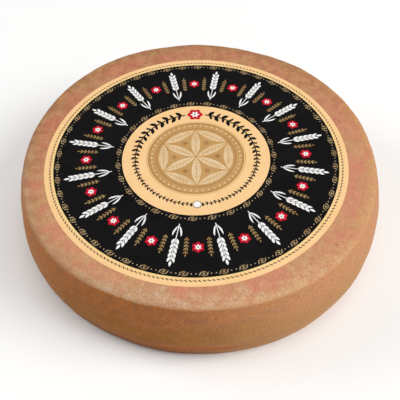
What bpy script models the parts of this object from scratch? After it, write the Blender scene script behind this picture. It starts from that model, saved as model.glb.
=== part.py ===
"""A whole wheel of raclette cheese with a round paper label on its upper face.

Lengths are in metres and +Z is up. The origin is on the surface that the wheel rests on, under the
middle of the wheel. The wheel is one solid: a flat-topped, flat-bottomed drum with a bulging side.
"""

import math

import bmesh
import bpy
from mathutils import Vector

# Wheel
BELLY_RADIUS = 0.1535
RIM_RADIUS = 0.1463
WHEEL_HEIGHT = 0.0711
EDGE_ROUNDING = 0.005
STEPS_AROUND = 112
STEPS_ON_EDGE = 5
STEPS_ON_SIDE = 14

# A pressed wheel is never quite round: number of lobes, share of the radius, where one of them points
LOBES = (
    (2, 0.0103, math.radians(-59)),
    (3, 0.0053, math.radians(-22)),
    (4, 0.0074, math.radians(39.5)),
)

# The cloth and the hoop leave the side a little uneven: waves around, waves up, height, start
SIDE_WAVES = (
    (7, 1.0, 0.00035, 0.4),
    (11, 2.0, 0.00025, 2.1),
)

# A fold of the cloth pressed a long shallow crease into the front of the side, below the belly
CREASE_HEIGHT = 0.0210
CREASE_WIDTH = 0.0028
CREASE_DEPTH = 0.0008
CREASE_MIDDLE = math.radians(-92)
CREASE_HALF_LENGTH = math.radians(12)

# Label
LABEL_RADIUS = 0.125
LABEL_THICKNESS = 0.0003
LABEL_GAP = 0.0003
LABEL_OFFSET = Vector((-0.0018, -0.0031))
LABEL_STEPS = 112

RIND_COLOUR = (0.52, 0.27, 0.15, 1.0)
PAPER_COLOUR = (0.94, 0.65, 0.31, 1.0)


def clear_scene():
    for item in list(bpy.data.objects):
        bpy.data.objects.remove(item, do_unlink=True)


def plain_material(name, colour, roughness):
    material = bpy.data.materials.new(name)
    material.use_nodes = True
    shader = material.node_tree.nodes["Principled BSDF"]
    shader.inputs["Base Color"].default_value = colour
    shader.inputs["Roughness"].default_value = roughness
    shader.inputs["Metallic"].default_value = 0.0
    return material


def arc(centre, radius, start, end, steps):
    """Points of a circular arc in the (distance from axis, height) plane, both ends included."""
    points = []
    for step in range(steps + 1):
        angle = start + (end - start) * step / steps
        points.append((centre[0] + radius * math.cos(angle), centre[1] + radius * math.sin(angle)))
    return points


def side_profile():
    """The turned outline from the flat top to the flat bottom: rim rounding, bulging side, rim rounding.

    The side is one arc through both rims and the belly. A smaller arc rounds each rim, tangent to
    the flat face and to the side.
    """
    half = WHEEL_HEIGHT / 2
    bulge = BELLY_RADIUS - RIM_RADIUS
    side_radius = (half**2 + bulge**2) / (2 * bulge)
    side_centre = BELLY_RADIUS - side_radius
    edge_up = half - EDGE_ROUNDING
    edge_out = side_centre + math.sqrt((side_radius - EDGE_ROUNDING) ** 2 - edge_up**2)
    meeting = math.atan2(edge_up, edge_out - side_centre)
    upper = arc((edge_out, half + edge_up), EDGE_ROUNDING, math.pi / 2, meeting, STEPS_ON_EDGE)
    side = arc((side_centre, half), side_radius, meeting, -meeting, STEPS_ON_SIDE)
    lower = arc((edge_out, half - edge_up), EDGE_ROUNDING, -meeting, -math.pi / 2, STEPS_ON_EDGE)
    return upper + side[1:-1] + lower


def out_of_round(angle):
    """Factor on the radius at this angle around the wheel."""
    return 1 + sum(share * math.cos(count * (angle - start)) for count, share, start in LOBES)


def side_relief(angle, height):
    """How far the side stands out or in at this place, in metres."""
    turn = math.pi * height / WHEEL_HEIGHT
    waves = sum(
        size * math.sin(around * angle + start) * math.sin(up * turn)
        for around, up, size, start in SIDE_WAVES
    )
    along = (angle - CREASE_MIDDLE) / CREASE_HALF_LENGTH
    across = (height - CREASE_HEIGHT) / CREASE_WIDTH
    crease = CREASE_DEPTH * math.exp(-(along**4)) * math.exp(-(across**2))
    return waves - crease


def shape_wheel(mesh):
    """Pulls the turned drum out of round and adds the relief of its side."""
    for vert in mesh.verts:
        distance = math.hypot(vert.co.x, vert.co.y)
        if distance < EDGE_ROUNDING:
            continue
        angle = math.atan2(vert.co.y, vert.co.x)
        factor = out_of_round(angle) + side_relief(angle, vert.co.z) / distance
        vert.co.x *= factor
        vert.co.y *= factor


def middle_of(mesh):
    """The middle of the mesh's width and depth, which the origin is put under."""
    across = [vert.co.x for vert in mesh.verts]
    along = [vert.co.y for vert in mesh.verts]
    return Vector(((min(across) + max(across)) / 2, (min(along) + max(along)) / 2, 0))


def finished_object(name, mesh, material):
    """Turns the faces outward, shades the round stretches smooth and puts the object in the scene."""
    bmesh.ops.recalc_face_normals(mesh, faces=mesh.faces)
    data = bpy.data.meshes.new(name)
    mesh.to_mesh(data)
    mesh.free()
    data.shade_smooth()
    data.set_sharp_from_angle(angle=math.radians(35))
    data.materials.append(material)
    item = bpy.data.objects.new(name, data)
    bpy.context.scene.collection.objects.link(item)
    return item


def make_wheel(material):
    """Turns the outline once around the axis, caps it, and moves it over the origin.

    Returns the object and how far the turning axis ended up from the origin.
    """
    mesh = bmesh.new()
    verts = [mesh.verts.new((distance, 0, height)) for distance, height in side_profile()]
    edges = [mesh.edges.new(pair) for pair in zip(verts[:-1], verts[1:])]
    bmesh.ops.spin(
        mesh,
        geom=verts + edges,
        cent=(0, 0, 0),
        axis=(0, 0, 1),
        angle=2 * math.pi,
        steps=STEPS_AROUND,
        use_merge=True,
    )
    rims = [edge for edge in mesh.edges if edge.is_boundary]
    caps = bmesh.ops.holes_fill(mesh, edges=rims, sides=0)["faces"]
    bmesh.ops.poke(mesh, faces=caps)
    shape_wheel(mesh)
    shift = -middle_of(mesh)
    bmesh.ops.translate(mesh, verts=mesh.verts, vec=shift)
    return finished_object("wheel", mesh, material), shift


def make_label(material, axis_place):
    """A thin round sheet, stuck on a little off the wheel's axis."""
    mesh = bmesh.new()
    bmesh.ops.create_cone(
        mesh,
        cap_ends=True,
        segments=LABEL_STEPS,
        radius1=LABEL_RADIUS,
        radius2=LABEL_RADIUS,
        depth=LABEL_THICKNESS,
    )
    label = finished_object("label", mesh, material)
    height = WHEEL_HEIGHT + LABEL_GAP + LABEL_THICKNESS / 2
    label.location = axis_place + Vector((LABEL_OFFSET.x, LABEL_OFFSET.y, height))
    return label


def main():
    clear_scene()
    rind = plain_material("washed_rind", RIND_COLOUR, 0.6)
    paper = plain_material("label_paper", PAPER_COLOUR, 0.5)
    wheel, axis_place = make_wheel(rind)
    label = make_label(paper, axis_place)
    label.parent = wheel


main()
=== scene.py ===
# %% [markdown]
# # A whole raclette wheel with its printed paper label
#
# Raclette is pressed in a round hoop, salted in brine and ripened for months on a shelf, where its skin is
# rubbed with brine again and again. That leaves a low drum with a bulging side and a dry, mottled rind. A
# round paper label is stuck on the top when the wheel is sold.
#
# The solid model gives a plain drum and a plain disc. Here the drum gets its real skin and the disc becomes a
# printed label. Places start from the boxes of the solid model and are in metres, with +Z up. A value written
# as `5 * MM` is five millimetres.

# %% Load the solid model
import math
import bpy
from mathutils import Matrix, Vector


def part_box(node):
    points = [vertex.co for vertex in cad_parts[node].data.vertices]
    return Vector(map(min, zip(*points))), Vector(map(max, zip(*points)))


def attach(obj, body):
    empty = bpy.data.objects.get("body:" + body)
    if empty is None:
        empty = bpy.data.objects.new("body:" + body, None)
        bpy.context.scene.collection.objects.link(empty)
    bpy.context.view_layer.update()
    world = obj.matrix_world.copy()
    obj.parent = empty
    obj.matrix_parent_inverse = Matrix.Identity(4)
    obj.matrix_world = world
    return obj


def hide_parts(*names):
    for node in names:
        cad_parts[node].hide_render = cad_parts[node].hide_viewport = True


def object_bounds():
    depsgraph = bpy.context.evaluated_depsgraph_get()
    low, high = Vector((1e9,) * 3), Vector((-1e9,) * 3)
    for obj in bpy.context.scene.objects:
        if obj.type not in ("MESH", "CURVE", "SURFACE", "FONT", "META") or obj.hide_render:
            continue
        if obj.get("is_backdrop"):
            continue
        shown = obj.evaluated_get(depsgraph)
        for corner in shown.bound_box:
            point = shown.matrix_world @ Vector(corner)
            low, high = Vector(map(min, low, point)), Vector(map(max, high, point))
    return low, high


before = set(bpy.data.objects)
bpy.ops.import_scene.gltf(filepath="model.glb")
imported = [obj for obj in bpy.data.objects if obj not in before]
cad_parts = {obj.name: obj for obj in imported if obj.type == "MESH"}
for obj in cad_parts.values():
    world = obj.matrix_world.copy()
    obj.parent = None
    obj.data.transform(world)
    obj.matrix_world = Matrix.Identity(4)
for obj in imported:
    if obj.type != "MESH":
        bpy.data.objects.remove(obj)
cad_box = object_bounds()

from types import SimpleNamespace

import bpy
import numpy as np
from mathutils import Matrix, Vector

MM = 0.001
wheel_low, wheel_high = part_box("wheel")
label_low, label_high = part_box("label")
TOP = wheel_high.z
LABEL_RADIUS = (label_high.x - label_low.x) / 2
LABEL_MIDDLE = (label_low + label_high) / 2
print("wheel in mm:", [round(side * 1000, 1) for side in wheel_high - wheel_low])
print(f"label {LABEL_RADIUS * 2000:.0f} mm across, lying at {LABEL_MIDDLE.z * 1000:.1f} mm")

# %% [markdown]
# ## The camera
#
# The wheel is seen from the front and from well above, so the label shows as a broad disc and the side as a
# crescent under it. A camera looks along its own -Z, so the matrix below is read from left to right: go to
# the middle of the top face, lean back to the viewing height, step away, and then turn the camera a little on
# the spot, because it does not aim exactly at the middle.
#
# The label was stuck on a little to the front left, so the wheel's axis lies a few millimetres behind and to
# the right of the label's middle.

# %% Camera
AXIS = Vector((LABEL_MIDDLE.x + 1.8 * MM, LABEL_MIDDLE.y + 3.1 * MM, 0))
CAMERA_DISTANCE = 538.5 * MM
CAMERA_ELEVATION = math.radians(46.96)
CAMERA_PAN = math.radians(-0.06)
CAMERA_TILT = math.radians(-4.06)
CAMERA_ROLL = math.radians(-1.52)
CAMERA_LENS = 58.08


def new_object(name, data):
    """Links a new object to the scene."""
    item = bpy.data.objects.new(name, data)
    bpy.context.scene.collection.objects.link(item)
    return item


camera_data = bpy.data.cameras.new("camera")
camera_data.sensor_width = 36
camera_data.lens = CAMERA_LENS
camera_data.clip_start = 0.01
camera = new_object("camera", camera_data)
camera.matrix_world = (
    Matrix.Translation((AXIS.x, AXIS.y, TOP))
    @ Matrix.Rotation(math.pi / 2 - CAMERA_ELEVATION, 4, "X")
    @ Matrix.Translation((0, 0, CAMERA_DISTANCE))
    @ Matrix.Rotation(CAMERA_PAN, 4, "Y")
    @ Matrix.Rotation(CAMERA_TILT, 4, "X")
    @ Matrix.Rotation(CAMERA_ROLL, 4, "Z")
)
bpy.context.scene.camera = camera
print("camera at", [round(value, 3) for value in camera.matrix_world.translation])

# %% [markdown]
# ## Helpers for materials
#
# Colours are written as the hex values that a paint program shows. Blender mixes light in linear values, so
# one function turns them. Another sets a node's inputs: each is a number, a hex colour or the socket that
# feeds it. A third adds a node with its settings and inputs. The id_data of a node or socket is its tree.

# %% Colour and node helpers
def colour(hex_value):
    """Linear red, green, blue and alpha of an sRGB hex value: ((c + 0.055) / 1.055) to the power 2.4."""
    parts = [part / 255 for part in bytes.fromhex(hex_value)]
    linear = [c / 12.92 if c <= 0.04045 else ((c + 0.055) / 1.055) ** 2.4 for c in parts]
    return (*linear, 1.0)


def set_inputs(node, inputs):
    """Links each input that is given a socket, and sets each other one to its number or hex colour."""
    for name, value in inputs.items():
        if isinstance(value, bpy.types.NodeSocket):
            node.id_data.links.new(value, node.inputs[name])
        else:
            node.inputs[name].default_value = colour(value) if isinstance(value, str) else value


def add(tree, kind, settings=None, inputs=None):
    """Adds one node with its settings and inputs."""
    node = tree.nodes.new(kind)
    for name, value in (settings or {}).items():
        setattr(node, name, value)
    set_inputs(node, inputs or {})
    return node


def new_material(name, inputs):
    """A material with one Principled shader; returns both."""
    material = bpy.data.materials.new(name)
    material.use_nodes = True
    shader = material.node_tree.nodes["Principled BSDF"]
    set_inputs(shader, inputs)
    return material, shader


print("cream as linear light:", [round(value, 3) for value in colour("f2c992")])

# %% [markdown]
# ## Lamps
#
# The wheel stands in a bright studio: a wide lamp overhead, a strong one on the right and a weaker one at the
# back left. They are large and far away, so the light is even and the shadow soft, and the front left of the
# side is darkest. None stands where its light would bounce off the label into the camera, so the black print
# stays black.
#
# A lamp's power is worked out from the light that should arrive. On a face turned towards it, at distance d,
# the power pi * pi * d * d makes a white surface just white.

# %% Lamps
def area_lamp(name, azimuth, elevation, size, share, distance=4.5):
    """A square lamp aimed at the wheel from this direction in degrees; share is its part of full white."""
    data = bpy.data.lights.new(name, "AREA")
    data.size = size
    data.energy = share * math.pi**2 * distance**2
    turn, lift = math.radians(azimuth), math.radians(elevation)
    away = Vector((math.cos(lift) * math.cos(turn), math.cos(lift) * math.sin(turn), math.sin(lift)))
    lamp = new_object(name, data)
    lamp.location = Vector((0, 0, TOP / 2)) + distance * away
    lamp.rotation_euler = (-away).to_track_quat("-Z", "Y").to_euler()
    print(f"{name}: {data.energy:.0f} W")


area_lamp("lamp_right", -14, 38, 2.6, 0.64)
area_lamp("lamp_overhead", -60, 78, 3.0, 0.34)
area_lamp("lamp_left", 165, 30, 2.6, 0.36)

# %% [markdown]
# ## Room and floor
#
# The pale room fills the shadows with about a quarter of full light. Where the camera sees it, past the edge
# of the floor, it is as white as paper. The view transform is the plain one, so a colour's hex value is what
# a white light shows.

# %% Room and floor
ROOM_LIGHT = 0.27
FLOOR_HALF = 1.6

world = bpy.data.worlds.new("pale_room")
world.use_nodes = True
seen = add(world.node_tree, "ShaderNodeLightPath").outputs["Is Camera Ray"]
strength = add(world.node_tree, "ShaderNodeMapRange", None, {"Value": seen, "To Min": ROOM_LIGHT})
room = world.node_tree.nodes["Background"]
set_inputs(room, {"Color": "ffffff", "Strength": strength.outputs["Result"]})
bpy.context.scene.world = world
bpy.context.scene.view_settings.view_transform = "Standard"

floor_mesh = bpy.data.meshes.new("floor")
corners = [(x * FLOOR_HALF, y * FLOOR_HALF, 0) for x, y in ((-1, -1), (1, -1), (1, 1), (-1, 1))]
floor_mesh.from_pydata(corners, [], [(0, 1, 2, 3)])
floor = new_object("floor", floor_mesh)
floor_paint, _ = new_material("pale_studio_floor", {"Base Color": "fafaf9", "Roughness": 0.8})
floor_mesh.materials.append(floor_paint)
floor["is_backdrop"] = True
print(f"floor {2 * FLOOR_HALF:.1f} m wide")

# %% [markdown]
# ## Surfaces from arrays
#
# Every piece is a grid of points that a formula gives, often from a radius and an angle. The cells between
# its rows and columns become triangles. Where a grid ends in one point, such as the middle of a disc, a fan
# of triangles closes it.

# %% Grid helpers
def full_turn(count, start=0.0):
    """Angles in equal steps once round."""
    return np.linspace(start, start + 2 * np.pi, count, endpoint=False)


def polar(radius, angle):
    """Points x = radius times cosine, y = radius times sine."""
    return np.stack([radius * np.cos(angle), radius * np.sin(angle)], axis=-1)


def grid_faces(rows, columns, wrap_rows=False):
    """Two triangles for each cell of a grid of points numbered row by row; columns always close round."""
    row, column = np.mgrid[0:rows if wrap_rows else rows - 1, 0:columns]
    below, beside = (row + 1) % rows, (column + 1) % columns
    a, b = row * columns + column, below * columns + column
    c, d = below * columns + beside, row * columns + beside
    return np.stack([a, b, c, a, c, d], axis=-1).reshape(-1, 3)


def fan_faces(middle, ring, upward=True):
    """Triangles from one middle point to a closed ring of point numbers."""
    following = np.roll(ring, -1)
    pair = (ring, following) if upward else (following, ring)
    return np.stack([np.full(len(ring), middle), *pair], axis=1)


def closed_faces(rows, columns):
    """Faces of rows of points that run from a first middle point down to a last one, numbered after them."""
    count, first = rows * columns, np.arange(columns)
    first_fan = fan_faces(count, first)
    last_fan = fan_faces(count + 1, first + count - columns, upward=False)
    return np.concatenate([grid_faces(rows, columns), first_fan, last_fan])


print("triangles of a closed grid of 3 rows and 8 columns:", len(closed_faces(3, 8)))

# %% [markdown]
# ## From arrays to a piece
#
# Blender takes whole arrays through foreach_set, which is far quicker than one vertex at a time. Each piece
# is tied to the body that it belongs to and gets its material. Faces that meet at more than 40 degrees keep a
# crisp edge, and all others are shaded smooth.

# %% Piece helper
CRISP_ANGLE = math.radians(40)


def make_piece(name, points, faces, material, slot):
    """Puts points and triangles into a mesh object that rides on the wheel."""
    mesh = bpy.data.meshes.new(name)
    mesh.vertices.add(len(points))
    mesh.vertices.foreach_set("co", np.asarray(points, np.float32).ravel())
    mesh.loops.add(faces.size)
    mesh.loops.foreach_set("vertex_index", faces.astype(np.int32).ravel())
    mesh.polygons.add(len(faces))
    mesh.polygons.foreach_set("loop_start", np.arange(len(faces), dtype=np.int32) * 3)
    mesh.update(calc_edges=True)
    mesh.validate()
    mesh.shade_smooth()
    mesh.set_sharp_from_angle(angle=CRISP_ANGLE)
    mesh.materials.append(material)
    piece = new_object(name, mesh)
    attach(piece, "root")
    print(f"{name}: {len(faces)} triangles")
    return piece


# %% [markdown]
# ## The outline of the wheel
#
# The wheel is turned from one outline, like a pot: out along the flat top, round the upper rim, down the
# bulging side, round the lower rim and back under the flat base. The side is one arc through both rims and
# the belly, and a smaller arc rounds each rim. The points lie close where rind shows, and far apart under the
# label and on the base, so the piece stays light.

# %% Outline
RIM_RADIUS = 146.3 * MM
BELLY_RADIUS = 153.5 * MM
EDGE_ROUNDING = 5 * MM
HIDDEN_RADIUS, SEEN_RADIUS = 117 * MM, 119 * MM
HIDDEN_POINTS, SEEN_POINTS, BASE_POINTS = 5, 21, 7
UPPER_STEPS, SIDE_STEPS, LOWER_STEPS = 8, 58, 6


def arc(centre, radius, start, end, steps):
    """Points on a circle from one angle to another, as (distance from the axis, height)."""
    return centre + polar(radius, np.linspace(start, end, steps + 1))


def wheel_outline():
    """The outline from the middle of the top to the middle of the base, with each point's way from the rim.

    The side's radius follows from half the height h and the bulge b: (h * h + b * b) / (2 * b). The rim's
    arc touches the flat face and the side. Distances are measured along the outline from the middle of that
    arc, and they are below zero on the top face.
    """
    half, bulge = TOP / 2, BELLY_RADIUS - RIM_RADIUS
    side_radius = (half**2 + bulge**2) / (2 * bulge)
    side_centre = BELLY_RADIUS - side_radius
    edge_up = half - EDGE_ROUNDING
    edge_out = side_centre + math.sqrt((side_radius - EDGE_ROUNDING) ** 2 - edge_up**2)
    meeting = math.atan2(edge_up, edge_out - side_centre)
    hidden = np.linspace(0, HIDDEN_RADIUS, HIDDEN_POINTS)
    across = np.concatenate([hidden, np.linspace(SEEN_RADIUS, edge_out, SEEN_POINTS + 1)[:-1]])
    top = np.stack([across, np.full_like(across, TOP)], axis=1)
    upper = arc((edge_out, half + edge_up), EDGE_ROUNDING, math.pi / 2, meeting, UPPER_STEPS)
    side = arc((side_centre, half), side_radius, meeting, -meeting, SIDE_STEPS)[1:-1]
    lower = arc((edge_out, half - edge_up), EDGE_ROUNDING, -meeting, -math.pi / 2, LOWER_STEPS)
    under = np.stack([np.linspace(edge_out, 0, BASE_POINTS + 1)[1:], np.zeros(BASE_POINTS)], axis=1)
    points = np.concatenate([top, upper, side, lower, under])
    length = np.concatenate([[0], np.cumsum(np.hypot(*np.diff(points, axis=0).T))])
    return points, length - length[len(top) + UPPER_STEPS // 2]


outline, from_rim = wheel_outline()
print(f"{len(outline)} points, and {from_rim[-1] * 1000:.0f} mm from the rim to the middle of the base")

# %% [markdown]
# ## Out of round, waves and one crease
#
# No pressed cheese is a perfect circle. Three slow waves of two, three and four lobes pull the outline up to
# three millimetres out of round. Weaker waves run over the side, and one long shallow crease lies low on the
# front, where the cloth was folded in the hoop. The solid model has the same forms.

# %% Slow forms
LOBES = (
    (2, 0.0103, math.radians(-59)),
    (3, 0.0053, math.radians(-22)),
    (4, 0.0074, math.radians(39.5)),
)
SIDE_WAVES = (
    (7, 1.0, 0.35 * MM, 0.4),
    (11, 2.0, 0.25 * MM, 2.1),
)
CREASE_HEIGHT = 21 * MM
CREASE_WIDTH = 2.8 * MM
CREASE_DEPTH = 0.8 * MM
CREASE_MIDDLE = math.radians(-92)
CREASE_HALF_LENGTH = math.radians(12)


def out_of_round(angle):
    """1 plus, for each lobe form, its share times the cosine of count * (angle - its first lobe)."""
    return 1 + sum(share * np.cos(count * (angle - start)) for count, share, start in LOBES)


def crease_share(angle, height):
    """1 along the crease and 0 away from it: a flat-topped bell along it times a narrow bell across it."""
    along = (angle - CREASE_MIDDLE) / CREASE_HALF_LENGTH
    across = (height - CREASE_HEIGHT) / CREASE_WIDTH
    return np.exp(-(along**4)) * np.exp(-(across**2))


def side_relief(angle, height):
    """Sum of the side's waves, less the depth of the crease."""
    turn = np.pi * height / TOP
    waves = sum(size * np.sin(k * angle + start) * np.sin(up * turn) for k, up, size, start in SIDE_WAVES)
    return waves - CREASE_DEPTH * crease_share(angle, height)


radii = BELLY_RADIUS * out_of_round(np.linspace(0, 2 * np.pi, 360)) * 1000
print(f"belly radius from {radii.min():.1f} to {radii.max():.1f} mm")

# %% [markdown]
# ## The unevenness of the skin
#
# Up close the rind is lumpy: soft swellings a few centimetres wide, smaller ones a finger wide, and a fine
# grain. Noise on a lattice of cubes gives that: each corner has a random number, and a point takes a smooth
# mean of the eight corners round it, so lumps are as large as the cubes. Four sizes are added, each smaller
# one lower.

# %% Skin noise
LUMPS = (
    (34 * MM, 0.34 * MM, 1),
    (12 * MM, 0.20 * MM, 2),
    (5 * MM, 0.10 * MM, 3),
    (2.6 * MM, 0.04 * MM, 4),
)
TABLE_SIZE = 4096
TABLE_STEPS = (73856093, 19349663, 83492791)


def lattice_noise(points, cell, seed):
    """Smooth noise from -1 to 1: a mean of a cube's random corners, weighed by 3f^2 - 2f^3 each way."""
    table = np.random.default_rng(seed).uniform(-1, 1, TABLE_SIZE)
    low = np.floor(points / cell).astype(np.int64)
    part = points / cell - low
    part = part * part * (3 - 2 * part)
    total = np.zeros(points.shape[:-1])
    for corner in np.ndindex(2, 2, 2):
        x, y, z = np.moveaxis((low + corner) * TABLE_STEPS, -1, 0)
        value = table[(x ^ y ^ z) % TABLE_SIZE]
        total += value * np.prod(np.where(corner, part, 1 - part), axis=-1)
    return total


def smooth_step(low, high, value):
    """0 at low, 1 at high, and an even S between them."""
    share = np.clip((value - low) / (high - low), 0, 1)
    return share * share * (3 - 2 * share)


def skin_relief(points):
    """The lumps of all sizes, faded out under the label and on the flat base."""
    lumps = sum(height * lattice_noise(points, size, seed) for size, height, seed in LUMPS)
    off_label = np.hypot(points[..., 0] - LABEL_MIDDLE.x, points[..., 1] - LABEL_MIDDLE.y) - LABEL_RADIUS
    return lumps * smooth_step(0.5 * MM, 8 * MM, off_label) * smooth_step(0, 5 * MM, points[..., 2])


print(f"lumps up to {sum(height for _, height, _ in LUMPS) * 1000:.2f} mm high")

# %% [markdown]
# ## The wheel itself
#
# Now the outline is carried once round the axis. Each point is pushed out by the slow forms, and then moved
# along the outline's own normal by the lumps, so the lumps swell outward on the side and upward on the top.
# Each point's distance from the rim and its share of the crease are kept for the rind's material.

# %% Wheel surface
WHEEL_COLUMNS = 880


def wheel_surface():
    """Points of the wheel, row by row and then its two middle points, and what the material needs of them."""
    angle = full_turn(WHEEL_COLUMNS, -math.pi)
    distance, height = outline[1:-1, :1], outline[1:-1, 1:] * np.ones_like(angle)
    reach = distance * out_of_round(angle) + side_relief(angle, height)
    ground = np.stack([AXIS.x + reach * np.cos(angle), AXIS.y + reach * np.sin(angle), height], axis=-1)
    run, rise = np.gradient(outline, axis=0)[1:-1].T[..., None]
    size = np.hypot(run, rise)
    outward, upward = -rise / size, run / size * np.ones_like(angle)
    normal = np.stack([outward * np.cos(angle), outward * np.sin(angle), upward], axis=-1)
    skin = ground + normal * skin_relief(ground)[..., None]
    skin[..., 2] = np.maximum(skin[..., 2], 0)
    middles = [(AXIS.x, AXIS.y, TOP), (AXIS.x, AXIS.y, 0)]
    distances = np.concatenate([np.repeat(from_rim[1:-1], WHEEL_COLUMNS), from_rim[[0, -1]]])
    creased = np.concatenate([crease_share(angle, height).ravel(), [0, 0]])
    return np.concatenate([skin.reshape(-1, 3), middles]), {"from_rim": distances, "in_crease": creased}


wheel_points, wheel_values = wheel_surface()
wheel_faces = closed_faces(len(outline) - 2, WHEEL_COLUMNS)
print(f"{len(wheel_points)} points on the wheel")

# %% [markdown]
# ## Mixing noise and colours
#
# A natural skin is built up from a few steps: noise of a known size, a soft change from one number to
# another, a mix of two colours, sums and products, and a bump. Each is one helper, which adds a node to the
# tree of its first socket, so the recipes below read like a list of what lies over what.

# %% Mixing helpers
def noise(place, size, detail=2, roughness=0.5):
    """Noise with lumps of this size in metres, as a number round a half."""
    inputs = {"Vector": place, "Scale": 1 / size, "Detail": detail, "Roughness": roughness}
    return add(place.id_data, "ShaderNodeTexNoise", None, inputs).outputs["Fac"]


def ramp(value, low, high, start=0.0, end=1.0):
    """Maps a number from low..high to start..end with a smooth S, and holds it outside."""
    inputs = {"Value": value, "From Min": low, "From Max": high, "To Min": start, "To Max": end}
    settings = {"interpolation_type": "SMOOTHSTEP"}
    return add(value.id_data, "ShaderNodeMapRange", settings, inputs).outputs["Result"]


def mixed(share, first, second, blend="MIX"):
    """Colour from first to second by share. A colour Mix node takes these three at 0, 6 and 7."""
    settings = {"data_type": "RGBA", "blend_type": blend}
    return add(share.id_data, "ShaderNodeMix", settings, {0: share, 6: first, 7: second}).outputs[2]


def number(operation, first, *others):
    """Sum or product of several numbers, taken in turn."""
    for other in others:
        inputs = {0: first, 1: other}
        first = add(first.id_data, "ShaderNodeMath", {"operation": operation}, inputs).outputs[0]
    return first


def frayed(value, wobble, width):
    """The value moved to and fro by noise, up to about half the width either way, to fray a boundary."""
    around = number("MULTIPLY", number("ADD", wobble, -0.5), 2 * width)
    return number("ADD", value, around)


def bump(height, strength, depth):
    """The normal of a surface with this height, where a height of 1 rises by the depth."""
    inputs = {"Height": height, "Strength": strength, "Distance": depth}
    return add(height.id_data, "ShaderNodeBump", None, inputs).outputs["Normal"]


print("mixing helpers ready")

# %% [markdown]
# ## What the rind's colours follow
#
# A washed rind is dry and only slightly waxy, so its shader is rough and its gloss is weak. Brine and its
# bacteria dye the skin by where it lies: top or side, near the rim or far from it, on the right or on the
# left. Some fields also place painted light and shade: painted shade on the top behind and on the left of the
# side, and a painted highlight with the bloom on the front of the rim. These fields and the noise are worked
# out once and shared.
#
# The sizes are real ones: clouds of 26 mm, patches of 8 mm, a grain of 2.2 mm, specks of 1.1 mm and pores
# 15 mm apart. The streaks come from a space that is squeezed upward, so they lie flat, as the hoop left them.

# %% Rind fields
PORE_SPACING = 15 * MM

rind_gloss = {"Roughness": 0.6, "IOR": 1.45, "Specular IOR Level": 0.14}
rind, rind_shader = new_material("washed_raclette_rind", rind_gloss)
rind_tree = rind.node_tree


def rind_fields(tree):
    """The sockets that the layers of rind read. East is +X, the right, and north is +Y, the back."""
    place = add(tree, "ShaderNodeTexCoord").outputs["Object"]
    x, y, height = add(tree, "ShaderNodeSeparateXYZ", None, {0: place}).outputs
    squeezed = add(tree, "ShaderNodeMapping", None, {"Vector": place, "Scale": (1, 1, 6)}).outputs["Vector"]
    cells = add(tree, "ShaderNodeTexVoronoi", None, {"Vector": place, "Scale": 1 / PORE_SPACING})

    def towards(east, north):
        return number("ADD", number("MULTIPLY", x, east), number("MULTIPLY", y, north))

    return SimpleNamespace(
        rim=add(tree, "ShaderNodeAttribute", {"attribute_name": "from_rim"}).outputs["Fac"],
        crease=add(tree, "ShaderNodeAttribute", {"attribute_name": "in_crease"}).outputs["Fac"],
        # behind: where the top gets painted shade, darker towards the back
        behind=ramp(towards(-0.3, 0.95), -75 * MM, 85 * MM),
        right=ramp(x, -52 * MM, 91 * MM),
        far_left=ramp(x, -95 * MM, -150 * MM),
        warm=ramp(towards(0.9, -0.45), -10 * MM, 120 * MM),
        # the front of the rim, where the bloom and a painted highlight are strongest
        front_bloom_and_highlight=ramp(towards(0.14, -0.99), 94 * MM, 136 * MM),
        beside=ramp(towards(0.15, 0.99), 60 * MM, -40 * MM),
        foot=ramp(height, 26 * MM, 8 * MM),
        cloud=noise(place, 26 * MM, 5, 0.58),
        patch=noise(place, 8 * MM, 4, 0.6),
        grain=noise(place, 2.2 * MM, 2, 0.6),
        speck=noise(place, 1.1 * MM, 1),
        streak=noise(squeezed, 26 * MM, 3),
        pore=cells.outputs["Distance"],
    )


rind_field = rind_fields(rind_tree)
print(f"{len(vars(rind_field))} fields from {len(rind_tree.nodes)} nodes")

# %% [markdown]
# ## The top of the rind
#
# The top is salmon with tan clouds. Towards the rim, where the brine ran off, the skin is more olive behind
# and on the left, and a warmer tan in front and on the right. The back is painted a little darker, as painted
# shade, in blotches.

# %% Top of the rind
def top_skin(field):
    """Salmon and tan clouds inside, olive or warm tan at the rim, and painted shade behind, in blotches."""
    cloudy = ramp(field.cloud, 0.32, 0.68)
    patchy = ramp(field.patch, 0.34, 0.66)
    salmon = mixed(patchy, "c88168", "c98b6b")
    tan = mixed(patchy, "c18c68", "c3996d")
    inner = mixed(cloudy, salmon, tan)
    olive = mixed(patchy, "b17e5d", "b58e60")
    warm = mixed(patchy, "c88b65", "c89863")
    outer = mixed(field.warm, olive, warm)
    near_rim = ramp(frayed(field.rim, field.cloud, 10 * MM), -14 * MM, 0)
    whole = mixed(near_rim, inner, outer)
    # painted shade: the top is multiplied darker towards the back, in blotches
    blotched = mixed(ramp(field.patch, 0.36, 0.64), "e4ddd7", "f4eee9")
    return mixed(field.behind, whole, blotched, "MULTIPLY")


rind_top = top_skin(rind_field)
print(f"{len(rind_tree.nodes)} nodes with the top")
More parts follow.
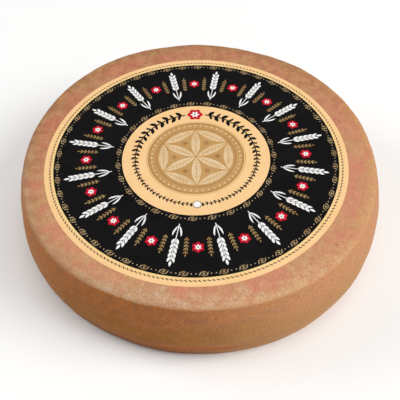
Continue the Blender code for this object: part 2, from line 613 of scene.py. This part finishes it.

# %% [markdown]
# ## The side of the rind
#
# Just under the rim, where the washing cloth catches, the side is red-brown. Lower down it fades to a dull
# ochre with faint flat streaks. There is a pair of colours for each, high and low: a darker one on the left
# and a paler one on the right, which is partly the rind's own colour and partly painted shade on the left.
# The far left turns one lighter brown, and the foot on the left is painted darkest, as painted shade.

# %% Side of the rind
def side_skin(field):
    """Red-brown patches above and streaked ochre below, each from a darker left, partly painted shade, to a
    paler right.
    """
    patchy = ramp(field.patch, 0.38, 0.62)
    streaky = ramp(field.streak, 0.36, 0.64)
    shaded_left_high = mixed(patchy, "996037", "aa6733")
    right_high = mixed(patchy, "bc8761", "c58b5d")
    shaded_left_low = mixed(streaky, "90591b", "9e621b")
    right_low = mixed(streaky, "b78456", "bb8856")
    # the left colours are darker partly as painted shade
    high = mixed(field.right, shaded_left_high, right_high)
    low = mixed(field.right, shaded_left_low, right_low)
    fall = ramp(frayed(field.rim, field.cloud, 26 * MM), 12 * MM, 34 * MM)
    whole = mixed(fall, high, low)
    whole = mixed(number("MULTIPLY", field.far_left, 0.8), whole, "a96d39")
    # painted shade: the foot of the side is multiplied darker on the left
    painted_shade_foot = number("MULTIPLY", field.foot, ramp(field.right, 0.65, 0.1, 0.0, 0.8))
    return mixed(painted_shade_foot, whole, "c9ac82", "MULTIPLY")


rind_side = side_skin(rind_field)
print(f"{len(rind_tree.nodes)} nodes with the side")

# %% [markdown]
# ## The bloom and painted highlight on the rim
#
# Washed rinds grow a pale dry bloom. Along the front rim it shows as light specks and patches between salmon
# ones, and the same pale colour there is also a painted highlight on the rounded rim. Inward it frays out
# over a centimetre or more, and outward it stops at the rim. A fainter trace of bloom and painted highlight
# follows the crest of the rim to both sides.

# %% Bloom
def bloom_and_highlight_share(field):
    """How much pale bloom and painted highlight a place shows: the front's and the crest's, each inside its
    own inner edge.
    """
    inner_edge = frayed(frayed(field.rim, field.patch, 14 * MM), field.cloud, 10 * MM)
    inward = ramp(inner_edge, -15.5 * MM, -7 * MM)
    outward = ramp(frayed(field.rim, field.grain, 3 * MM), 1.9 * MM, 0.5 * MM)
    specks = ramp(field.speck, 0.38, 0.62, 0.1, 0.45)
    thin = ramp(field.patch, 0.36, 0.6, 0.4, 1.06)
    # the front's pale share is bloom with a painted highlight
    front = number("MULTIPLY", inward, field.front_bloom_and_highlight, specks)
    # the crest's pale share is faint bloom with a painted highlight
    crest = number("MULTIPLY", ramp(field.rim, -8 * MM, -2 * MM), field.beside, 0.2)
    return number("MULTIPLY", number("ADD", front, crest), outward, thin)


rind_bloom_and_highlight = bloom_and_highlight_share(rind_field)
print(f"{len(rind_tree.nodes)} nodes with the bloom")

# %% [markdown]
# ## Fine marks
#
# The grain makes each spot a little lighter or darker: it is a factor round one that multiplies the colour.
# The specks are stronger on the left of the side, where the brine dried last. Some patches have small dark
# pores, where a Voronoi pattern gives a small distance from the nearest of its scattered points. All three
# also give the bump its height.

# %% Fine marks
PORE_EDGE, PORE_FLOOR = 0.1, 0.05


def fine_marks(field, skin):
    """The skin's colour times the grain, with dark pores, and the height for the bump."""
    grainy = ramp(field.grain, 0.3, 0.7, 0.93, 1.07)
    left = number("MULTIPLY", ramp(field.rim, 0, 4 * MM), ramp(field.right, 0.7, 0))
    darkest, lightest = ramp(left, 0, 1, 0.955, 0.89), ramp(left, 0, 1, 1.045, 1.11)
    specked = ramp(field.speck, 0.35, 0.65, darkest, lightest)
    factor = number("MULTIPLY", grainy, specked)
    skin = add(skin.id_data, "ShaderNodeVectorMath", {"operation": "SCALE"}, {0: skin, 3: factor}).outputs[0]
    few = ramp(field.patch, 0.56, 0.6)
    pores = number("MULTIPLY", ramp(field.pore, PORE_EDGE, PORE_FLOOR), few)
    skin = mixed(number("MULTIPLY", pores, 0.6), skin, "7a4526")
    fine = number("MULTIPLY", field.speck, 0.4)
    return skin, number("ADD", field.grain, fine, number("MULTIPLY", pores, -0.8))


print(f"pores about {(PORE_EDGE + PORE_FLOOR) * PORE_SPACING / MM:.1f} mm across")

# %% [markdown]
# ## The whole rind
#
# Now the layers go over each other: top and side, the bloom with its painted highlight, the reddened crease
# and the fine marks. Top and side meet in a ragged line at the front, under the bloom and painted highlight,
# and in a soft change elsewhere, so the two ends of that ramp move with the front's share of them. The pale
# colour of the bloom and painted highlight is greyer on the left and yellower on the right.
# The wheel's two measured values are stored on its points, where the material's Attribute nodes find them by
# name.

# %% Rind and wheel
def whole_rind(field, top, side, bloom):
    """All layers in their order, linked to the shader's colour and normal."""
    ragged = frayed(frayed(field.rim, field.patch, 4 * MM), field.grain, 2 * MM)
    # the edge is sharper on the front, under the bloom and painted highlight
    edge_start = ramp(field.front_bloom_and_highlight, 0, 0.6, -2 * MM, 0.3 * MM)
    edge_end = ramp(field.front_bloom_and_highlight, 0, 0.6, 4.5 * MM, 2.3 * MM)
    skin = mixed(ramp(ragged, edge_start, edge_end), top, side)
    # pale colour of the bloom and of the painted highlight
    left_dust_and_highlight = mixed(ramp(field.patch, 0.5, 0.62), "c6aa8c", "cdb0a6")
    dust_and_highlight = mixed(field.right, left_dust_and_highlight, "d3ae88")
    skin = mixed(bloom, skin, dust_and_highlight)
    # the crease is coloured a darker red
    crease_colour_share = number("MULTIPLY", field.crease, ramp(field.patch, 0.3, 0.6, 0.65, 1.0))
    skin = mixed(crease_colour_share, skin, "b45a1e")
    skin, relief = fine_marks(field, skin)
    set_inputs(rind_shader, {"Base Color": skin, "Normal": bump(relief, 0.22, 0.4 * MM)})


whole_rind(rind_field, rind_top, rind_side, rind_bloom_and_highlight)
wheel = make_piece("wheel_rind", wheel_points, wheel_faces, rind, "washed_rind")
for name, values in wheel_values.items():
    kept = wheel.data.attributes.new(name, "FLOAT", "POINT")
    kept.data.foreach_set("value", values.astype(np.float32))
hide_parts("wheel")
print(f"{len(rind_tree.nodes)} nodes in the whole rind")

# %% [markdown]
# ## The label's paper
#
# The label is a disc of coated paper, printed cream all over before the other inks go on. It is glued to a
# skin that is not quite flat, so it rises and sinks by a few hundredths of a millimetre. One function gives
# the height of its face, and every ink below uses the same function, so the print follows the paper.

# %% Paper
PAPER_LIFT = 0.24 * MM
PAPER_WAVE = 0.03 * MM
PAPER_BACK = TOP + 0.02 * MM
PAPER_COLUMNS = 360


def paper_top(x, y):
    """Height of the paper's face at (x, y) from the label's middle: its lift plus long, low waves."""
    waves = np.sin(x / (13 * MM) + 0.6) * np.cos(y / (10 * MM)) + np.sin((x + 0.6 * y) / (17 * MM) + 2)
    return TOP + PAPER_LIFT + PAPER_WAVE * waves


def paper_surface():
    """A disc of rings from the middle to the edge, and a second, flat one below it back to the middle."""
    angle = full_turn(PAPER_COLUMNS)
    face, back = np.linspace(0, LABEL_RADIUS, 52)[1:], np.linspace(LABEL_RADIUS, 0, 6)[:-1]
    radius = np.concatenate([face, back])[:, None]
    x, y = radius * np.cos(angle), radius * np.sin(angle)
    height = paper_top(x, y)
    height[len(face):] = PAPER_BACK
    points = np.stack([LABEL_MIDDLE.x + x, LABEL_MIDDLE.y + y, height], axis=-1).reshape(-1, 3)
    middles = [(*LABEL_MIDDLE.xy, paper_top(0, 0)), (*LABEL_MIDDLE.xy, PAPER_BACK)]
    return np.concatenate([points, middles]), closed_faces(radius.size, PAPER_COLUMNS)


def coated_paper():
    """Cream ink on coated paper: a soft sheen, a faint cloud in the ink and the tooth of the fibres."""
    gloss = {"Roughness": 0.5, "IOR": 1.5, "Specular IOR Level": 0.15}
    material, shader = new_material("cream_printed_paper", gloss)
    place = add(material.node_tree, "ShaderNodeTexCoord").outputs["Object"]
    cloudy = ramp(noise(place, 22 * MM), 0.35, 0.65)
    tooth = bump(noise(place, 0.5 * MM), 0.15, 0.05 * MM)
    set_inputs(shader, {"Base Color": mixed(cloudy, "f2c78d", "f5cb94"), "Normal": tooth})
    return material


paper = make_piece("label_paper", *paper_surface(), coated_paper(), "label_paper")
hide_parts("label")

# %% [markdown]
# ## Ink as very thin plates
#
# A printed shape could be painted into the paper's material, but a pattern this fine would blur there. Here
# each ink is a mesh of its own: every shape is a plate a twentieth of a millimetre thick, with a face, a wall
# and an underside. Inks lie on each other in levels, as they are printed.
#
# An ink shape is three arrays: points on the label in millimetres, which of them are on the face, and
# triangles. There are three ways to draw one: a patch fills an outline, a stroke follows a path with a
# changing width, and a band is a ring.

# %% Ink shapes
INK = 0.05 * MM


def patch(rim, rows=1):
    """Fills an outline that runs anticlockwise: smaller copies of it round its middle, and one below."""
    middle, count = rim.mean(axis=0), len(rim)
    share = np.arange(1, rows + 1)[:, None, None] / rows
    rings = middle + share * (rim - middle)
    points = np.concatenate([rings.reshape(-1, 2), rim, [middle, middle]])
    on_face = np.repeat([1, 0, 1, 0], [rows * count, count, 1, 1])
    return points, on_face, closed_faces(rows + 1, count)


def stroke(path, width):
    """A flat line with square ends: at each point of the path, half the width to either side."""
    run = np.gradient(path, axis=0)
    sideways = np.stack([-run[:, 1], run[:, 0]], axis=1) / np.hypot(*run.T)[:, None]
    side = sideways * np.broadcast_to(np.asarray(width) / 2, len(path))[:, None]
    points = np.stack([path - side, path + side, path + side, path - side], axis=1).reshape(-1, 2)
    last = 4 * (len(path) - 1)
    ends = [[0, 1, 2], [0, 2, 3], [last, last + 2, last + 1], [last, last + 3, last + 2]]
    return points, np.tile([1, 1, 0, 0], len(path)), np.concatenate([grid_faces(len(path), 4), ends])


def band(inner, outer, rows, columns=360):
    """A ring: circles from the inner to the outer radius on the face, and the two edge circles below."""
    radius = np.concatenate([np.linspace(inner, outer, rows + 1), [outer, inner]])[:, None]
    points = polar(radius, full_turn(columns)).reshape(-1, 2)
    on_face = np.repeat([1, 0], [(rows + 1) * columns, 2 * columns])
    return points, on_face, grid_faces(rows + 3, columns, wrap_rows=True)


print("a ring of one row has", len(band(1, 2, 1)[2]), "triangles")

# %% [markdown]
# ## Moving and repeating shapes
#
# Shapes are joined, moved, turned, mirrored and repeated round the label as whole arrays. Repeating a shape
# turns all its points by all the angles at once, and shifts the numbers of its triangles by its count of
# points for each copy.

# %% Moving and repeating
def joined(*shapes):
    """Several shapes as one."""
    points, on_face, faces = zip(*shapes)
    starts = np.cumsum([0] + [len(part) for part in points])
    shifted = [corners + start for corners, start in zip(faces, starts)]
    return np.concatenate(points), np.concatenate(on_face), np.concatenate(shifted)


def moved(shape, x=0.0, y=0.0, turn=0.0, size=1.0):
    """The shape scaled, turned anticlockwise by degrees and then shifted."""
    points, on_face, faces = shape
    c, s = math.cos(math.radians(turn)), math.sin(math.radians(turn))
    return size * points @ np.array([[c, s], [-s, c]]) + (x, y), on_face, faces


def mirrored(shape):
    """The shape mirrored across the x axis, with its triangles turned round so that they still face up."""
    points, on_face, faces = shape
    return points * (1, -1), on_face, faces[:, ::-1]


def both_sides(*shapes):
    """The shapes and their mirror images across the x axis."""
    return joined(*shapes, *map(mirrored, shapes))


def repeated(shape, count, start=0.0):
    """Copies at equal angles round the label's middle, the first turned by start in degrees."""
    points, on_face, faces = shape
    angle = np.radians(start) + np.arange(count)[:, None] * 2 * np.pi / count
    c, s, x, y = np.cos(angle), np.sin(angle), *points.T
    copies = np.stack([c * x - s * y, s * x + c * y], axis=-1).reshape(-1, 2)
    shift = np.arange(count)[:, None, None] * len(points)
    return copies, np.tile(on_face, count), (faces + shift).reshape(-1, 3)


square = patch(np.array([(1, 1), (-1, 1), (-1, -1), (1, -1)]))
print("a square on both sides, five times round:", len(repeated(both_sides(square), 5)[2]), "triangles")

# %% [markdown]
# ## Offset inks
#
# Offset ink dries to an even, slightly satin film. Seen close, a large field still clouds a little where the
# roller gave more or less ink, and the film is very finely rough. All inks share that recipe. The table gives
# each one's lighter and darker colour and the size of its clouds in millimetres. The golds vary most, because
# they are fine dots of several inks.

# %% Inks
INKS = {
    "black": ("131112", "0c0b0b", 14),
    "gold": ("a08d5c", "8f6744", 6),
    "pale_gold": ("b8a688", "a0845f", 6),
    "white": ("f7f6f4", "edebe9", 6),
    "red": ("cd1730", "ba1029", 6),
    "dark_brown": ("5a452b", "453420", 6),
    "pale_yellow": ("f3d596", "eccb88", 6),
    "tan": ("c49b62", "bc9057", 16),
    "deep_tan": ("ab8050", "9f7342", 6),
    "light_tan": ("e9d0ab", "d6b484", 12),
}


def offset_ink(name, light, dark, cloud_size):
    """Ink between two close colours, by a cloud of this size and a dot grain of half a millimetre."""
    gloss = {"Roughness": 0.45, "IOR": 1.5, "Specular IOR Level": 0.1}
    material, shader = new_material(name, gloss)
    place = add(material.node_tree, "ShaderNodeTexCoord").outputs["Object"]
    cloudy = ramp(noise(place, cloud_size), 0.3, 0.7, 0.0, 0.7)
    dots = noise(place, 0.5 * MM, 1)
    share = number("ADD", cloudy, ramp(dots, 0.4, 0.6, 0.0, 0.3))
    film = bump(dots, 0.1, 0.03 * MM)
    set_inputs(shader, {"Base Color": mixed(share, dark, light), "Normal": film})
    return material


inks = {}
for name, (light, dark, cloud) in INKS.items():
    inks[name] = offset_ink(f"{name}_offset_ink", light, dark, cloud * MM)
print(len(inks), "inks ready")

# %% [markdown]
# ## Printing
#
# A print is laid on the paper by adding the paper's own height to each point. A plate's face stands its
# level times the ink's thickness above the paper, and its underside sinks a little into what it lies on, so
# that no light gets between them.

# %% Printing helper and the black ring
INK_SUNK = 0.02 * MM
LABEL_MM = LABEL_RADIUS / MM
RING_INNER = 0.4904 * LABEL_MM
RING_OUTER = 0.9398 * LABEL_MM


def print_ink(name, shape, level, ink):
    """Lays a shape on the paper at this level and makes a piece of it."""
    points, on_face, faces = shape
    x, y = points.T * MM
    lift = np.where(on_face > 0, level * INK, (level - 1) * INK - INK_SUNK)
    placed = np.stack([LABEL_MIDDLE.x + x, LABEL_MIDDLE.y + y, paper_top(x, y) + lift], axis=1)
    make_piece(f"ink_{name}", placed, faces, inks[ink], "label_paper")


print_ink("black_ring", band(RING_INNER, RING_OUTER, 28), 1, "black")
print_ink("pale_ring", band(RING_OUTER + 0.05, RING_OUTER + 1.1, 1), 1, "pale_yellow")

# %% [markdown]
# ## Outlines for ornament
#
# Most ornament on the label is made of five simple things: a round bead, a leaf, a blossom, a swelling line
# and a straight stem. A leaf's half width is the sine of the way along it. A blossom's outline is a circle
# whose radius dips between the petals.

# %% Ornament outlines
def circle(radius, count=8):
    """Points of a circle, anticlockwise."""
    return polar(radius, full_turn(count))


def blossom(radius, petals, depth, count):
    """A circle whose radius swings between its full size and (1 - depth) of it, once for each petal."""
    share = 1 - depth * (0.5 - 0.5 * np.cos(petals * full_turn(count)))
    return circle(radius, count) * share[:, None]


def spindle(x, half):
    """An outline along +x: the half widths below it on the way out, and above it on the way back."""
    below, above = np.stack([x, -half], axis=1), np.stack([x, half], axis=1)
    return np.concatenate([below, above[::-1][1:-1]])


def leaf(length, width, count=12):
    """A pointed outline from (0, 0) to (length, 0)."""
    way = np.linspace(0, 1, count // 2 + 1)
    return spindle(length * way, width / 2 * np.sin(np.pi * way))


def swell(way, full, ends=0.15):
    """A stroke's width along its way from 0 to 1: thin at both ends and full in the middle."""
    return ends + (full - ends) * np.sin(np.pi * way) ** 0.7


def straight(length, width, steps=4):
    """A straight stem from (0, 0) to (length, 0)."""
    return stroke(np.stack([np.linspace(0, length, steps), np.zeros(steps)], axis=1), width)


print("a leaf of 12 points has", len(patch(leaf(5, 2))[2]), "triangles")

# %% [markdown]
# ## Borders of ovals and beads
#
# Two narrow borders of gold ornament run along the edges of the black ring. Their unit is an old one, seen on
# china and picture frames: a bead in an oval of two strokes, a curved leaf slanting at each end, and two
# beads before the next oval. The unit looks the same when it is turned half round, so only one half is drawn.
# The ovals are gold, and the leaves and beads a paler gold.

# %% Borders
BORDERS = ((0.915 * LABEL_MM, 49), (0.517 * LABEL_MM, 27))
OVAL_HALF_WIDTH, OVAL_HALF_LENGTH = 1.75, 2.1
LEAF_HALF_LENGTH, LEAF_PLACE, LEAF_SLANT = 1.6, 2.75, 0.95
UNIT_BEAD, PAIR_BEAD, PAIR_HALF_GAP = 0.85, 0.56, 1.75


def bow_pair():
    """The two strokes of an oval about (0, 0); x points outward on the label, y along the circle."""
    way = np.linspace(0, 1, 9)
    turn = np.radians(18 + 144 * way)
    path = np.stack([OVAL_HALF_WIDTH * np.sin(turn), OVAL_HALF_LENGTH * np.cos(turn)], axis=1)
    bow = stroke(path, swell(way, 0.8))
    return joined(bow, moved(bow, turn=180))


def leaves_and_bead():
    """The bead in the oval and the two leaves, each a line that slants and sways a little."""
    way = np.linspace(-1, 1, 9)
    sway = LEAF_PLACE - LEAF_SLANT * way + 0.2 * np.sin(np.pi * way)
    slanted = stroke(np.stack([LEAF_HALF_LENGTH * way, sway], axis=1), swell((way + 1) / 2, 0.8))
    return joined(slanted, moved(slanted, turn=180), patch(circle(UNIT_BEAD)))


def bead_pair(radius, count):
    """The two beads half way to the next unit."""
    gap = math.degrees(PAIR_HALF_GAP / radius)
    bead = moved(patch(circle(PAIR_BEAD)), radius)
    return joined(*(repeated(bead, count, 180 / count + side) for side in (-gap, gap)))


ovals = [repeated(moved(bow_pair(), radius), count) for radius, count in BORDERS]
print_ink("gold_ovals", joined(*ovals), 2, "gold")
leaves = [repeated(moved(leaves_and_bead(), radius), count) for radius, count in BORDERS]
beads = [bead_pair(radius, count) for radius, count in BORDERS]
print_ink("pale_gold_leaves", joined(*leaves, *beads), 2, "pale_gold")

# %% [markdown]
# ## Ears of grain
#
# Between the borders, sixteen white ears of grain stand like the spokes of a wheel, for the fields below the
# alp. An ear is a stem, two blades that bend outward like a bow, pairs of grains that lean outward and one
# grain at the tip.

# %% Ears
GROUPS = 16
EAR_START, EAR_END = 0.5625 * LABEL_MM, 0.874 * LABEL_MM
BLADE_LENGTH, BLADE_SPREAD = 9.5, 2.9
GRAIN_LENGTH, GRAIN_WIDTH, GRAIN_LEAN = 5.4, 2.1, 20


def ear(length, pairs=5):
    """An ear of grain along +x; a blade's distance from the stem grows as 1 - (1 - way) squared."""
    way = np.linspace(0, 1, 9)
    bend = 0.4 + BLADE_SPREAD * (1 - (1 - way) ** 2)
    blade = stroke(np.stack([2 + BLADE_LENGTH * way, bend], axis=1), swell(way, 1.4, 0.2))
    first, gap = 0.36 * length, 0.105 * length
    grain = patch(leaf(GRAIN_LENGTH, GRAIN_WIDTH))
    grains = [moved(grain, first + gap * place, 0.8, GRAIN_LEAN) for place in range(pairs)]
    tip = moved(grain, first + gap * pairs - 0.6)
    return joined(straight(0.85 * length, 0.65), both_sides(blade, *grains), tip)


ears = repeated(moved(ear(EAR_END - EAR_START), EAR_START), GROUPS, 180 / GROUPS)
print_ink("white_ears", ears, 2, "white")

# %% [markdown]
# ## Blossoms and sprigs
#
# Between two ears grows a red blossom with a white middle and a gold heart, and a slim gold sprig stands on
# either side of it. The three inks of the blossom lie on each other in levels.

# %% Blossoms and sprigs
BLOSSOM_PLACE = 0.728 * LABEL_MM
BLOSSOM_RADIUS, WHITE_RADIUS, HEART_RADIUS = 4.9, 2.7, 0.7
SPRIG_LENGTH, SPRIG_BESIDE, SPRIG_LEAN = 18, 8.2, 5


def sprig(length, pairs=5):
    """A small stem along +x with pairs of leaves and one leaf at the tip."""
    step = 0.165 * length
    leaves = [moved(patch(leaf(2.9, 1.2, 8)), 1 + step * place, 0.1, 38) for place in range(pairs)]
    tip = moved(patch(leaf(2.6, 1.2, 8)), 0.86 * length)
    return joined(straight(0.9 * length, 0.5), both_sides(*leaves), tip)


one_sprig = moved(sprig(SPRIG_LENGTH), BLOSSOM_PLACE - 9.5, SPRIG_BESIDE, SPRIG_LEAN)
print_ink("gold_sprigs", repeated(both_sides(one_sprig), GROUPS), 2, "gold")
for name, shape, level, ink in (
    ("red_blossoms", patch(blossom(BLOSSOM_RADIUS, 6, 0.22, 36), 2), 2, "red"),
    ("white_blossoms", patch(blossom(WHITE_RADIUS, 6, 0.45, 36)), 3, "white"),
    ("gold_hearts", patch(circle(HEART_RADIUS)), 4, "gold"),
):
    print_ink(name, repeated(moved(shape, BLOSSOM_PLACE), GROUPS), level, ink)

# %% [markdown]
# ## A garland round the middle
#
# The cream middle has a black garland all round, as it is painted on farm cupboards. It hangs from a large
# blossom at the top: two branches run down the sides, with leaves turning outward and inward in turn, and the
# leaves shrink until the ends nearly meet under a small white blossom. Only the right branch is drawn; the
# left one is its mirror image.

# %% Garland
GARLAND_RADIUS = 0.404 * LABEL_MM
BRANCH_START, BRANCH_END = 80, -84


def on_circle(shape, angle):
    """Puts a shape that was drawn along +x on the garland's circle, so that +x runs clockwise along it."""
    return moved(shape, *polar(GARLAND_RADIUS, math.radians(angle)), angle - 90)


def twig(size, side):
    """A large leaf on one side, a small one on the other and a berry, scaled by size."""
    large = moved(patch(leaf(7.4, 3.5, 16), 2), turn=47 * side)
    small = moved(patch(leaf(5.0, 2.3)), 1.2, turn=-50 * side)
    berry = moved(patch(circle(0.9, 10)), 3.3, -3.6 * side)
    return moved(joined(large, small, berry), size=size)


def branch(first, last):
    """A stem with twigs clockwise from one angle to another in degrees, shrinking on the way."""
    way = np.linspace(0, 1, 60)
    angle = np.radians(first + (last - first) * way)
    stem = stroke(polar(GARLAND_RADIUS, angle), 1.3 - 0.8 * way)
    parts, place, side = [stem], first - 3, 1
    while place > last:
        size = 1 - 0.6 * smooth_step(60, -40, place)
        parts.append(on_circle(twig(size, side), place))
        place, side = place - 1.6 - 5.2 * size, -side
    return joined(*parts, on_circle(moved(patch(leaf(3.2, 1.5)), -0.5), last))


right_branch = branch(BRANCH_START, BRANCH_END)
left_branch = moved(mirrored(right_branch), turn=180)
print_ink("black_garland", joined(right_branch, left_branch), 1, "black")

# %% [markdown]
# ## Blossoms at the top and bottom of the garland
#
# The upper blossom is like the small ones in the ring, and 1.4 times as large. The lower one is white with a
# thin dark rim, so that it shows on the cream.

# %% Garland blossoms
LARGE = 1.4
UP, DOWN = GARLAND_RADIUS, -GARLAND_RADIUS

for name, shape, y, level, ink in (
    ("large_red_blossom", patch(blossom(LARGE * BLOSSOM_RADIUS, 6, 0.2, 60), 2), UP, 1, "red"),
    ("large_white_blossom", patch(blossom(LARGE * WHITE_RADIUS, 6, 0.45, 60)), UP, 2, "white"),
    ("large_gold_heart", patch(circle(LARGE * HEART_RADIUS, 12)), UP, 3, "gold"),
    ("low_blossom_rim", patch(blossom(3.9, 8, 0.2, 48)), DOWN, 1, "dark_brown"),
    ("low_white_blossom", patch(blossom(3.3, 8, 0.2, 48)), DOWN, 2, "white"),
):
    print_ink(name, moved(shape, 0, y), level, ink)

# %% [markdown]
# ## The compass rosette
#
# In the middle lies a star as it is drawn with a pair of compasses and carved into butter moulds. All its
# petals are the same shape: what two circles of one size share when each goes through the other's middle.
# Six petals stand round the middle and six more join their tips, so the whole star is drawn with one opening
# of the compasses. Fine lines stand for the cuts of the chisel.

# %% Rosette petals
ROSETTE_RADIUS = 0.3214 * LABEL_MM
STAR_RADIUS = 0.77 * ROSETTE_RADIUS


def petal(length, steps=10):
    """Half width at way w from -1 to 1: length times (the root of 1 - w * w / 4, less the root of 3 / 4)."""
    way = np.linspace(-1, 1, steps + 1)
    return spindle(length * (way + 1) / 2, length * (np.sqrt(1 - way**2 / 4) - math.sqrt(0.75)))


def petal_cuts(length):
    """A line down the middle of a petal and short slanting lines on both sides of it."""
    starts = length * np.linspace(0.2, 0.68, 6)
    lean = length * 0.1 * np.sin(np.pi * starts / length)
    paths = [np.array([(x, 0), (x + 0.5 * y, 0.5 * y), (x + 0.9 * y, y)]) for x, y in zip(starts, lean)]
    middle = moved(straight(0.8 * length, 0.45), 0.1 * length)
    return joined(middle, both_sides(*(stroke(path, 0.35) for path in paths)))


def star(shape):
    """Six copies round the middle and six that join their tips; the shape lies along +x from (0, 0)."""
    joining = moved(shape, *polar(STAR_RADIUS, math.pi / 6), 150)
    return joined(repeated(shape, 6, 30), repeated(joining, 6))


one_petal = moved(patch(petal(STAR_RADIUS), 5), 0.035 * STAR_RADIUS, size=0.93)
rim_beads = repeated(moved(patch(circle(0.85, 10)), ROSETTE_RADIUS - 3.4), 48)
print_ink("light_petals", joined(star(one_petal), rim_beads), 2, "light_tan")
print_ink("petal_cuts", star(petal_cuts(STAR_RADIUS)), 3, "tan")

# %% [markdown]
# ## The rosette's ground
#
# The star lies on a round tan field. Two darker rings frame it, and a small dark star fills each of the six
# hollows between its petals. A thin tan line runs round the field on the cream.

# %% Rosette ground
print_ink("tan_disc", patch(circle(ROSETTE_RADIUS, 180), 18), 1, "tan")
print_ink("tan_line", band(ROSETTE_RADIUS + 0.75, ROSETTE_RADIUS + 1.15, 1, 180), 1, "tan")
inner_ring = band(STAR_RADIUS + 1.5, STAR_RADIUS + 2.3, 1, 120)
outer_ring = band(ROSETTE_RADIUS - 1.5, ROSETTE_RADIUS - 0.9, 1, 120)
small_stars = repeated(moved(patch(blossom(2.7, 6, 0.5, 36)), STAR_RADIUS / math.sqrt(3)), 6)
print_ink("deep_tan_lines", joined(inner_ring, outer_ring, small_stars), 2, "deep_tan")

# %% [markdown]
# ## The fine line in the cream edge
#
# Round the outside runs a very fine dark line of ornament, less than two millimetres high: small waves with a
# bead after each, which read from a step away as one broken thread.

# %% Edge line
EDGE_RADIUS = 0.962 * LABEL_MM
EDGE_UNITS = 225
WAVE_LENGTH, WAVE_HEIGHT = 2.2, 0.6

edge_way = np.linspace(0, 1, 7)
edge_path = np.stack([WAVE_LENGTH * edge_way, WAVE_HEIGHT * np.sin(2 * np.pi * edge_way)], axis=1)
edge_bead = moved(patch(circle(0.32, 6)), WAVE_LENGTH + 0.6)
edge_unit = joined(stroke(edge_path, swell(edge_way, 0.85)), edge_bead)
print_ink("brown_edge_line", repeated(moved(edge_unit, 0, EDGE_RADIUS), EDGE_UNITS), 1, "dark_brown")

# %% [markdown]
# ## Sizes and the end
#
# The dressed wheel must keep the size of the solid model, so both boxes are printed side by side.

# %% Print both boxes and finish
boxes = {"cad": [list(corner) for corner in cad_box], "visual": [list(corner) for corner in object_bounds()]}
for name, (low, high) in boxes.items():
    print(name, "box in mm:", [round((b - a) * 1000, 1) for a, b in zip(low, high)])
